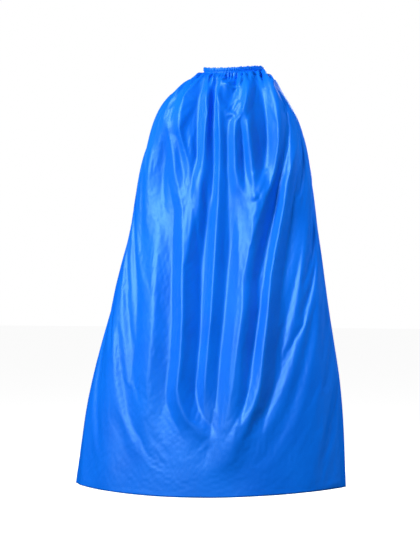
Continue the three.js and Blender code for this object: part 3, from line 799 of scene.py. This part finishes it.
surface = CLOTH_THICKNESS / 2  # the outer face, off the middle of the cloth
stitch_us = np.linspace(-1, 1, 900)
bottom_stitches = stitches_on("bottom_hem_stitches", stitch_us, 1 - hem_share * HEM_STITCH_DEPTH, surface)
stitch_vs = np.linspace(0.012, 1 - 0.2 * hem_share, 1200)
edge_stitches = [
    stitches_on(f"{side}_edge_stitches", sign * (1 - edge_share * EDGE_STITCH_DEPTH), stitch_vs, surface)
    for side, sign in (("left", 1), ("right", -1))
]
for piece in (panel, bottom_turn, left_turn, right_turn, bottom_stitches, *edge_stitches):
    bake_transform(piece)
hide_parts("yoke_panel", "drape_panel")
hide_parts("bottom_hem")
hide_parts("left_edge_hem", "left_yoke_edge_hem")
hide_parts("right_edge_hem", "right_yoke_edge_hem")
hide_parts("bottom_hem_stitching")
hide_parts("left_edge_stitching")
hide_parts("right_edge_stitching")

# ---- The gathered casing --------------------------------------------------------------------------
CASING_FACE = 0.0013  # from the middle of the casing to its cloth, where it is stitched flat
CROWN_HEIGHT = 0.0014  # of the rounded fold along its top
PUFF_WAVELENGTH = 0.0088
LEAST_PUFF = 0.0004
MOST_PUFF = 0.0013  # on top of the least
INNER_PUFF = 0.0003


def gathered_casing():
    """The panel's top folded over the tape: pleated below the seam as the panel is, puffed above it."""
    ts = np.linspace(-NECK_WRAP, NECK_WRAP, 620)
    arc = np.interp(ts / NECK_WRAP, cloth.us, measured(cloth.grid)[0][0])
    heights = [-0.0022, -0.0008, 0.0008, 0.0021, CASING_SEAM_HEIGHT, 0.0046]
    heights = np.array(heights + [0.0062, 0.0082, 0.0102, 0.012, 0.0134])
    crown = np.linspace(0, math.pi, 9)[1:-1]
    top = CASING_TOP - 0.0016
    levels = np.concatenate([heights, top + CROWN_HEIGHT * np.sin(crown), heights[::-1]])
    sides = np.concatenate([-np.ones(len(heights)), -np.cos(crown), np.ones(len(heights))])
    pleats = wavy(arc, PLEAT_WAVELENGTH, PLEAT_SEED)
    puff = LEAST_PUFF + MOST_PUFF * np.clip(0.5 + 0.6 * wavy(arc, PUFF_WAVELENGTH, 17), 0, 1.2)
    edge = 0.0011 * wavy(arc, 0.0098, 31) + 0.0008 * wavy(arc, 0.026, 32)
    above = smooth(levels, CASING_SEAM_HEIGHT, 0.0062)[:, None]
    below = smooth(-levels, -CASING_SEAM_HEIGHT, 0.0022)[:, None]
    puff = np.where(sides[:, None] > 0, puff, INNER_PUFF)
    off = sides[:, None] * (CASING_FACE + puff * above * (1 - 0.35 * smooth(levels, 0.009, 0.0145)[:, None]))
    off += 0.0007 * pleats * below + 0.0004 * wavy(arc, PUFF_WAVELENGTH, 18) * above
    height = levels[:, None] + edge * smooth(levels, 0.004, 0.015)[:, None]
    grid = band(ts[None], height, off)
    uv = np.stack(np.broadcast_arrays(arc[None] * 2.2, np.cumsum(np.full(len(levels), 0.0018))[:, None]), -1)
    return sheet_piece("gathered_casing", grid, uv, SATIN, CLOTH_THICKNESS)


casing = gathered_casing()
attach(casing, "neck")
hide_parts("neck_casing")
seam_ts = np.linspace(-NECK_WRAP + 0.01, NECK_WRAP - 0.01, 700)
seam = band(seam_ts, CASING_SEAM_HEIGHT, CASING_FACE + surface)
seam_outward = band(seam_ts, CASING_SEAM_HEIGHT, CASING_FACE + OUT_STEP) - seam
casing_stitches = stitches("casing_stitches", seam, seam_outward)
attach(casing_stitches, "neck")
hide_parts("casing_stitching")


# ---- The closure ----------------------------------------------------------------------------------
def strap(name, start, end, middle):
    """A strap of two plies, sewn near its border, from the angle start to its rounded end at the angle end.

    The function middle gives how far outwards the middle of the strap is at each angle.
    """
    q = np.linspace(0, 1, 49)
    ts = start + (end - start) * q
    length = abs(end - start) * NECK_HALF_WIDTH
    to_end = (1 - q) * length
    into_corner = np.clip(STRAP_CORNER - to_end, 0, STRAP_CORNER)
    inset = STRAP_CORNER - np.sqrt(np.clip(STRAP_CORNER**2 - into_corner**2, 0, None))
    across = np.sin(np.linspace(-math.pi / 2, math.pi / 2, 25))
    half = TAB_HEIGHT / 2 - inset
    height = BAND_MIDDLE + across[:, None] * half
    to_border = np.minimum(half - np.abs(across[:, None]) * half, to_end[None] + 0 * height)
    groove = SEAM_GROOVE * np.exp(-(((to_border - BORDER_SEAM) / 0.0006) ** 2))
    thick = PLY_HALF_THICKNESS * np.sqrt(np.clip(to_border / BORDER_ROUNDNESS, 0, 1)) - groove
    thick = np.maximum(thick, LEAST_HALF_THICKNESS)
    ripple = 0.00018 * wavy(ts * NECK_HALF_WIDTH + 0.1 * height, 0.006, 41)
    off = middle(ts)[None] + ripple
    outer, inner = band(ts, height, off + thick), band(ts, height, off - thick)
    if end < start:
        outer, inner = outer[:, ::-1], inner[:, ::-1]
    return closed_shell(name, outer[::-1], inner[::-1], SATIN)


def border_stitches(name, start, end, off):
    """One row of stitches round a strap, just inside its border."""
    half = TAB_HEIGHT / 2 - BORDER_SEAM
    reach = (end - start) * (1 - BORDER_SEAM / abs(end - start) / NECK_HALF_WIDTH)
    corners = [(start, half), (start + reach * 0.97, half), (start + reach, half * 0.85)]
    corners += [(t, -h) for t, h in reversed(corners)]
    t = np.concatenate([np.linspace(a[0], b[0], 60) for a, b in zip(corners, corners[1:])])
    h = np.concatenate([np.linspace(a[1], b[1], 60) for a, b in zip(corners, corners[1:])])
    line = band(t, BAND_MIDDLE + h, off(t))
    outward = band(t, BAND_MIDDLE + h, off(t) + OUT_STEP) - line
    keep = np.concatenate([[True], np.linalg.norm(np.diff(line, axis=0), axis=1) > 1e-7])
    return stitches(name, line[keep], outward[keep], BORDER_STITCH)


def patch(name, start, end, inner, hooks):
    """A hook or loop patch: a woven back with its pile on the face side."""
    columns, rows = 75, 45
    ts = np.linspace(start, end, columns)
    height = BAND_MIDDLE + PATCH_HEIGHT * (np.linspace(1, 0, rows)[:, None] - 0.5)
    rng = np.random.default_rng(51 + hooks)
    border = np.minimum(np.minimum(np.arange(columns), np.arange(columns)[::-1])[None],
                        np.minimum(np.arange(rows), np.arange(rows)[::-1])[:, None])
    pile = rng.uniform(0.4 if hooks else 0.1, 1, (rows, columns))
    if hooks:
        pile *= (np.arange(columns)[None] % 3 == 1) & (np.arange(rows)[:, None] % 3 == 1)
    pile *= PILE_HEIGHT * (border >= 3)
    if hooks:
        low, high = inner + 0 * pile, inner + PATCH_BACKING + pile
    else:
        high = inner + PATCH_THICKNESS + 0 * pile
        low = high - PATCH_BACKING - pile
    return closed_shell(name, band(ts, height, high), band(ts, height, low), HOOK_LOOP)


def end_stitches(name, t, off):
    """One line of stitches down the end of a patch."""
    height = BAND_MIDDLE + (PATCH_HEIGHT / 2 - 0.001) * np.linspace(-1, 1, 60)
    line = band(t, height, off)
    return stitches(name, line, band(t, height, off + OUT_STEP) - line, PATCH_STITCH)


tab_end = NECK_WRAP + along_band(TAB_REACH)
TAB_FACE = 0.0013  # from the middle of the tab to the patch on it
SEAM_OFF = 0.0008  # from the middle of a strap to its stitches
tab = strap("throat_tab", NECK_WRAP, tab_end, lambda t: 0 * t)
tab_stitches = border_stitches("throat_tab_stitches", NECK_WRAP, tab_end, lambda t: 0 * t + SEAM_OFF)
hook_to = tab_end - along_band(PATCH_MARGIN)
hook_from = hook_to - along_band(PATCH_LENGTH)
hooks = patch("hook_pile", hook_from, hook_to, TAB_FACE, 1)
strap_end = -NECK_WRAP - along_band(STRAP_REACH)
STRAP_OFF = TAB_FACE + 2 * (PATCH_THICKNESS + STRAP_GAP) + PLY_HALF_THICKNESS


def strap_middle(t):
    stepped = smooth(-NECK_WRAP - t, 0, along_band(STRAP_STEP))
    return lerp(0.0009, STRAP_OFF, stepped)


over = strap("throat_strap", -NECK_WRAP, strap_end, strap_middle)
over_stitches = border_stitches(
    "throat_strap_stitches", -NECK_WRAP, strap_end, lambda t: strap_middle(t) + SEAM_OFF
)
loop_from = strap_end + along_band(PATCH_MARGIN)
loop_to = loop_from + along_band(PATCH_LENGTH)
loops = patch("loop_pile", loop_from, loop_to, TAB_FACE + PATCH_THICKNESS + STRAP_GAP, 0)
for piece, body, nodes, material_slot in (
    (tab, "neck", ["under_tab"], "satin"),
    (tab_stitches, "neck", [], "thread"),
    (hooks, "neck", ["hook_patch"], "hook_loop"),
    (over, "closure_strap", ["over_strap"], "satin"),
    (over_stitches, "closure_strap", [], "thread"),
    (loops, "closure_strap", ["loop_patch"], "hook_loop"),
):
    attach(piece, body)
    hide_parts(*nodes)
PATCH_SEAM = 0.006  # the angle from the end of a patch to its stitches
for name, t, off, body in (
    ("hook_patch_right", hook_from + PATCH_SEAM, -PLY_HALF_THICKNESS, "neck"),
    ("hook_patch_left", hook_to - PATCH_SEAM, -PLY_HALF_THICKNESS, "neck"),
    ("loop_patch_right", loop_from + PATCH_SEAM, STRAP_OFF + PLY_HALF_THICKNESS, "closure_strap"),
    ("loop_patch_left", loop_to - PATCH_SEAM, STRAP_OFF + PLY_HALF_THICKNESS, "closure_strap"),
):
    row = end_stitches(name + "_stitches", t, off)
    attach(row, body)
    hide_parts(name + "_stitching")


# ---- The care label -------------------------------------------------------------------------------
def care_label():
    """A blank woven ribbon: it hangs from its sewn top edge and curls a little towards its foot."""
    x = np.linspace(-1, 1, 33)[None] * LABEL_WIDTH / 2
    q = np.linspace(0, 1, 47)[:, None]
    z = LABEL_TOP - q * LABEL_LENGTH
    side = 2 * x / LABEL_WIDTH
    curl = 0.0003 * np.sin(2.4 * side + 3 * q) - 0.0011 * smooth(q, 0.3, 1) * (1 - 0.5 * side**2)
    y = LABEL_Y + curl * smooth(q, 0.1, 0.4)
    grid = np.stack(np.broadcast_arrays(x, y, z), -1)
    return sheet_piece("blank_label", grid, np.stack(np.broadcast_arrays(x, z), -1), LABEL, LABEL_THICKNESS)


label = care_label()
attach(label, "label")
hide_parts("care_label")
sewn_x = np.linspace(-0.0115, 0.0115, 60)
sewn = np.stack(np.broadcast_arrays(sewn_x, LABEL_Y - 0.0003, LABEL_TOP - LABEL_SEWN / 2), -1)
label_stitches = stitches("label_stitches", sewn, np.tile((0, -1.0, 0), (60, 1)), LABEL_STITCH)
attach(label_stitches, "label")
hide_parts("care_label_stitching")

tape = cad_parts["neck_tape"]
tape.data.materials.clear()
tape.data.materials.append(TAPE)

# ---- Stage, light and camera ----------------------------------------------------------------------
def studio():
    scene = bpy.context.scene
    scene.view_settings.view_transform = "Standard"
    world = bpy.data.worlds.new("studio")
    scene.world = world
    world.use_nodes = True
    background = world.node_tree.nodes["Background"]
    background.inputs["Color"].default_value = (1, 1, 1, 1)
    background.inputs["Strength"].default_value = 1.0
    world.cycles_visibility.diffuse = False
    world.cycles_visibility.glossy = False
    floor_material, nodes, links, shader = new_material("pale floor")
    shader.inputs["Base Color"].default_value = (*FLOOR_COLOUR, 1)
    shader.inputs["Roughness"].default_value = 0.9
    shader.inputs["Emission Color"].default_value = (1, 1, 1, 1)
    shader.inputs["Emission Strength"].default_value = FLOOR_GLOW
    bpy.ops.mesh.primitive_plane_add(size=FLOOR_SIZE, location=(0, 0, FLOOR_Z))
    floor = bpy.context.object
    floor.name = "floor"
    floor.data.materials.append(floor_material)
    floor.visible_diffuse = False
    floor.visible_glossy = False


def area_light(name, location, target, size, power):
    data = bpy.data.lights.new(name, "AREA")
    data.shape = "RECTANGLE"
    data.size, data.size_y = size
    data.energy = power
    light = bpy.data.objects.new(name, data)
    bpy.context.scene.collection.objects.link(light)
    light.location = location
    direction = np.array(target) - np.array(location)
    light.rotation_euler = Vector(direction).to_track_quat("-Z", "Y").to_euler()
    return light


def camera():
    back = Vector((math.sin(VIEW_AZIMUTH), -math.cos(VIEW_AZIMUTH), 0))
    up = Vector((0, 0, 1))
    right = up.cross(back)
    data = bpy.data.cameras.new("camera")
    data.sensor_width = SENSOR
    data.lens = LENS
    data.clip_end = 100
    view = bpy.data.objects.new("camera", data)
    bpy.context.scene.collection.objects.link(view)
    place = back * CAMERA_DISTANCE - right * NECK_RIGHT_OF_CENTRE - up * NECK_ABOVE_CENTRE
    view.matrix_world = Matrix.Translation(place) @ Matrix((right, up, back)).transposed().to_4x4()
    bpy.context.scene.camera = view
    return right, up, back


studio()
right, up, back = camera()
for name, (place, size, brightness, glossy) in LIGHTS.items():
    away = right * place[0] + back * place[1] + up * place[2]
    power = brightness * math.pi**2 * away.length_squared
    light = area_light(name, tuple(away + Vector(LIGHTS_AIM)), LIGHTS_AIM, size, power)
    light.visible_glossy = glossy
